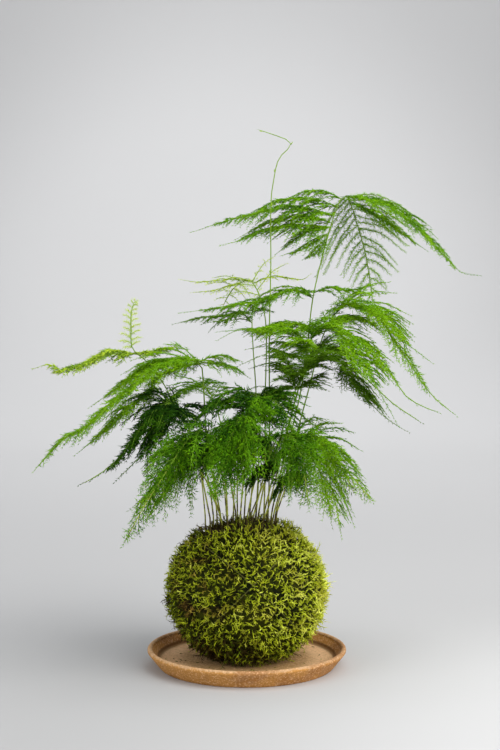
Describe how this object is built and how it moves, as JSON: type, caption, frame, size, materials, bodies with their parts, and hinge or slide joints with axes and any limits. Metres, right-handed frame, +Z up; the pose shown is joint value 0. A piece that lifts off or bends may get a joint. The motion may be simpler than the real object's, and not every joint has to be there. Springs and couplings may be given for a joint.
{
  "type": "kokedama moss ball plant",
  "caption": "Feathery asparagus fern growing from a round moss-covered soil ball that is bound with thread and rests in a shallow round clay saucer.",
  "frame": {"origin": "middle of the saucer's flat foot, on the surface that it stands on", "axes": "+Z up along the tallest shoot, -Y towards the viewer of the picture, +X to the viewer's right"},
  "size_m": [0.3336, 0.202, 0.4],
  "materials": {
    "clay": "matte",
    "soil": "matte",
    "moss": "matte",
    "thread": "matte",
    "foliage_bright": "satin",
    "foliage_dark": "satin",
    "foliage_young": "satin"
  },
  "bodies": {
    "root": {"saucer": "clay", "soil_core": "soil", "moss_cover": "moss", "binding_thread": "thread", "tall_shoot": "foliage_young", "frond_high": "foliage_bright", "frond_right_upper": "foliage_bright", "frond_mid": "foliage_bright", "frond_centre_right": "foliage_dark", "frond_pale": "foliage_young", "frond_small": "foliage_dark", "frond_left_tip": "foliage_young", "frond_left_arch": "foliage_bright", "frond_left_dark": "foliage_dark", "frond_front_left": "foliage_bright", "frond_front_centre": "foliage_bright", "frond_front_right": "foliage_bright", "frond_right_low": "foliage_bright", "frond_right_back": "foliage_dark", "frond_centre_top": "foliage_bright", "frond_back_centre": "foliage_dark", "frond_back_left": "foliage_bright", "frond_back_right": "foliage_bright", "frond_left_low": "foliage_bright", "frond_back_low_left": "foliage_dark", "frond_back_low_right": "foliage_bright", "inner_shoot_1": "foliage_dark", "inner_shoot_2": "foliage_dark", "inner_shoot_3": "foliage_dark", "inner_shoot_4": "foliage_dark", "inner_shoot_5": "foliage_dark", "inner_shoot_6": "foliage_dark", "inner_shoot_7": "foliage_dark", "inner_shoot_8": "foliage_dark"}
  },
  "joints": []
}
